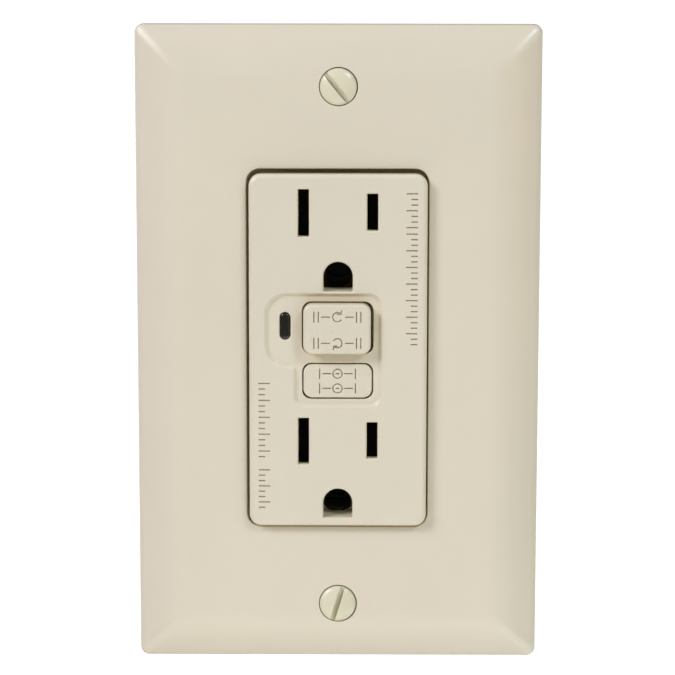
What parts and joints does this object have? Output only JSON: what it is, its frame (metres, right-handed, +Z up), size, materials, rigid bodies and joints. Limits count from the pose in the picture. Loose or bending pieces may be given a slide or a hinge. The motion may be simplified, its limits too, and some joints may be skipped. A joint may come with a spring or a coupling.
{
  "type": "gfci outlet",
  "caption": "Duplex ground-fault receptacle with test and reset buttons, wall plate, strap and wire terminals, built as its separate working pieces.",
  "frame": {"origin": "centre of the wall plate on the plane of the wall surface, where the plate's rim and the strap's ears rest", "axes": "+X right and +Z up as the outlet is read, -Y out of the wall towards the user, +Y into the wall box"},
  "size_m": [0.0746, 0.0386, 0.119],
  "materials": {
    "almond_cover": "satin moulded thermoplastic, light almond",
    "almond_plate": "satin moulded thermoplastic, light almond",
    "almond_button": "satin moulded thermoplastic, light almond",
    "painted_screw": "glossy almond enamel on steel",
    "black_lens": "polished dark lens",
    "red_led": "clear tinted epoxy",
    "zinc_steel": "zinc plated",
    "brass": "bright stamped brass",
    "nickel_screw": "nickel plated",
    "copper_alloy": "spring bronze",
    "winding": "enamelled copper wire",
    "green_screw": "green dyed zinc",
    "grey_separator": "moulded thermoset",
    "dark_housing": "moulded thermoset",
    "white_nylon": "moulded nylon",
    "circuit_board": "solder mask over glass epoxy",
    "black_epoxy": "moulded epoxy",
    "blue_lacquer": "dipped lacquer",
    "fibre": "vulcanised fibre"
  },
  "bodies": {
    "outlet": {"wall_plate": "almond_plate", "front_cover": "almond_cover", "indicator_lens": "black_lens", "indicator_led": "red_led", "mounting_strap": "zinc_steel", "ground_contact_upper": "brass", "ground_contact_lower": "brass", "separator": "grey_separator", "back_housing": "dark_housing", "load_hot_bus": "brass", "load_neutral_bus": "brass", "line_hot_terminal": "brass", "line_neutral_terminal": "brass", "circuit_board": "circuit_board", "sense_transformer": "winding", "neutral_transformer": "black_epoxy", "varistor": "blue_lacquer", "thyristor": "black_epoxy", "capacitor": "black_epoxy", "control_chip": "black_epoxy", "test_resistor": "fibre", "solenoid_bobbin": "white_nylon", "solenoid_winding": "winding", "solenoid_frame": "zinc_steel", "plunger_spring": "zinc_steel", "reset_spring": "zinc_steel", "hot_contact_post": "brass", "neutral_contact_post": "brass", "retainer_washer_upper": "fibre", "assembly_screw_upper_left": "zinc_steel", "assembly_screw_upper_right": "zinc_steel", "retainer_washer_lower": "fibre", "assembly_screw_lower_left": "zinc_steel", "assembly_screw_lower_right": "zinc_steel"},
    "reset": {"reset_button": "almond_button", "reset_shaft": "zinc_steel"},
    "test": {"test_button": "almond_button"},
    "test_leaf_body": {"test_leaf": "copper_alloy"},
    "carriage": {"contact_carriage": "white_nylon"},
    "latch": {"latch_slide": "zinc_steel"},
    "plunger": {"solenoid_plunger": "zinc_steel"},
    "hot_arm": {"hot_contact_arm": "copper_alloy"},
    "neutral_arm": {"neutral_contact_arm": "copper_alloy"},
    "ground_screw_body": {"ground_screw": "green_screw"},
    "plate_screw_upper_body": {"plate_screw_upper": "painted_screw"},
    "box_screw_upper_body": {"mounting_screw_upper": "zinc_steel"},
    "plate_screw_lower_body": {"plate_screw_lower": "painted_screw"},
    "box_screw_lower_body": {"mounting_screw_lower": "zinc_steel"},
    "line_hot_screw_body": {"terminal_screw_line_hot": "brass"},
    "line_hot_clamp_body": {"clamp_plate_line_hot": "brass"},
    "line_neutral_screw_body": {"terminal_screw_line_neutral": "nickel_screw"},
    "line_neutral_clamp_body": {"clamp_plate_line_neutral": "nickel_screw"},
    "load_hot_screw_body": {"terminal_screw_load_hot": "brass"},
    "load_hot_clamp_body": {"clamp_plate_load_hot": "brass"},
    "load_neutral_screw_body": {"terminal_screw_load_neutral": "nickel_screw"},
    "load_neutral_clamp_body": {"clamp_plate_load_neutral": "nickel_screw"}
  },
  "joints": [
    {"name": "reset_press", "type": "slide", "parent": "outlet", "child": "reset", "axis": [0, 1, 0], "range_m": [0, 0.0031], "stiffness_N_per_m": 900, "springref_m": -0.003, "deforming": ["reset_spring"]},
    {"name": "test_press", "type": "slide", "parent": "outlet", "child": "test", "axis": [0, 1, 0], "range_m": [0, 0.0012], "stiffness_N_per_m": 900, "springref_m": -0.001},
    {"name": "test_leaf_flex", "type": "hinge", "parent": "outlet", "child": "test_leaf_body", "pos_m": [0.0144, 0.00355, -0.0056], "axis": [0, 0, -1], "range_deg": [0, 4.75]},
    {"name": "carriage_lift", "type": "slide", "parent": "outlet", "child": "carriage", "axis": [0, -1, 0], "range_m": [0, 0.001], "stiffness_N_per_m": 400, "springref_m": -0.0008},
    {"name": "hot_arm_flex", "type": "hinge", "parent": "outlet", "child": "hot_arm", "pos_m": [0.0124, 0.01655, 0.0085], "axis": [-1, 0, 0], "range_deg": [0, 6.8]},
    {"name": "neutral_arm_flex", "type": "hinge", "parent": "outlet", "child": "neutral_arm", "pos_m": [-0.0124, 0.01655, 0.0085], "axis": [-1, 0, 0], "range_deg": [0, 6.8]},
    {"name": "plunger_stroke", "type": "slide", "parent": "outlet", "child": "plunger", "axis": [0, 0, -1], "range_m": [0, 0.0016], "stiffness_N_per_m": 300, "springref_m": -0.0006, "deforming": ["plunger_spring"]},
    {"name": "latch_shift", "type": "slide", "parent": "carriage", "child": "latch", "axis": [0, 0, -1], "range_m": [0, 0.0016]},
    {"name": "line_hot_clamp_draw", "type": "slide", "parent": "outlet", "child": "line_hot_clamp_body", "axis": [1, 0, 0], "range_m": [0, 0.00198]},
    {"name": "line_hot_screw_turn", "type": "hinge", "parent": "outlet", "child": "line_hot_screw_body", "pos_m": [0.019, 0.0166, 0.019], "axis": [-1, 0, 0], "range_deg": [0, 900]},
    {"name": "line_neutral_clamp_draw", "type": "slide", "parent": "outlet", "child": "line_neutral_clamp_body", "axis": [-1, 0, 0], "range_m": [0, 0.00198]},
    {"name": "line_neutral_screw_turn", "type": "hinge", "parent": "outlet", "child": "line_neutral_screw_body", "pos_m": [-0.019, 0.0166, 0.019], "axis": [1, 0, 0], "range_deg": [0, 900]},
    {"name": "load_hot_clamp_draw", "type": "slide", "parent": "outlet", "child": "load_hot_clamp_body", "axis": [1, 0, 0], "range_m": [0, 0.00198]},
    {"name": "load_hot_screw_turn", "type": "hinge", "parent": "outlet", "child": "load_hot_screw_body", "pos_m": [0.019, 0.0166, -0.019], "axis": [-1, 0, 0], "range_deg": [0, 900]},
    {"name": "load_neutral_clamp_draw", "type": "slide", "parent": "outlet", "child": "load_neutral_clamp_body", "axis": [-1, 0, 0], "range_m": [0, 0.00198]},
    {"name": "load_neutral_screw_turn", "type": "hinge", "parent": "outlet", "child": "load_neutral_screw_body", "pos_m": [-0.019, 0.0166, -0.019], "axis": [1, 0, 0], "range_deg": [0, 900]},
    {"name": "ground_screw_turn", "type": "hinge", "parent": "outlet", "child": "ground_screw_body", "pos_m": [-0.0142, 0.0056, -0.039], "axis": [1, 0, 0], "continuous": true},
    {"name": "plate_screw_upper_turn", "type": "hinge", "parent": "outlet", "child": "plate_screw_upper_body", "pos_m": [0, -0.006, 0.04842], "axis": [0, 1, 0], "continuous": true},
    {"name": "box_screw_upper_turn", "type": "hinge", "parent": "outlet", "child": "box_screw_upper_body", "pos_m": [0, -0.0025, 0.04167], "axis": [0, 1, 0], "continuous": true},
    {"name": "plate_screw_lower_turn", "type": "hinge", "parent": "outlet", "child": "plate_screw_lower_body", "pos_m": [0, -0.006, -0.04842], "axis": [0, 1, 0], "continuous": true},
    {"name": "box_screw_lower_turn", "type": "hinge", "parent": "outlet", "child": "box_screw_lower_body", "pos_m": [0, -0.0025, -0.04167], "axis": [0, 1, 0], "continuous": true}
  ],
  "couplings": [
    {"joint": "test_leaf_flex", "follows": "test_press", "rad_per_m": 68.966},
    {"joint": "hot_arm_flex", "follows": "carriage_lift", "rad_per_m": 118},
    {"joint": "neutral_arm_flex", "follows": "carriage_lift", "rad_per_m": 118},
    {"joint": "latch_shift", "follows": "plunger_stroke", "ratio": 1},
    {"joint": "line_hot_screw_turn", "follows": "line_hot_clamp_draw", "rad_per_m": 7915.8},
    {"joint": "line_neutral_screw_turn", "follows": "line_neutral_clamp_draw", "rad_per_m": 7915.8},
    {"joint": "load_hot_screw_turn", "follows": "load_hot_clamp_draw", "rad_per_m": 7915.8},
    {"joint": "load_neutral_screw_turn", "follows": "load_neutral_clamp_draw", "rad_per_m": 7915.8}
  ]
}
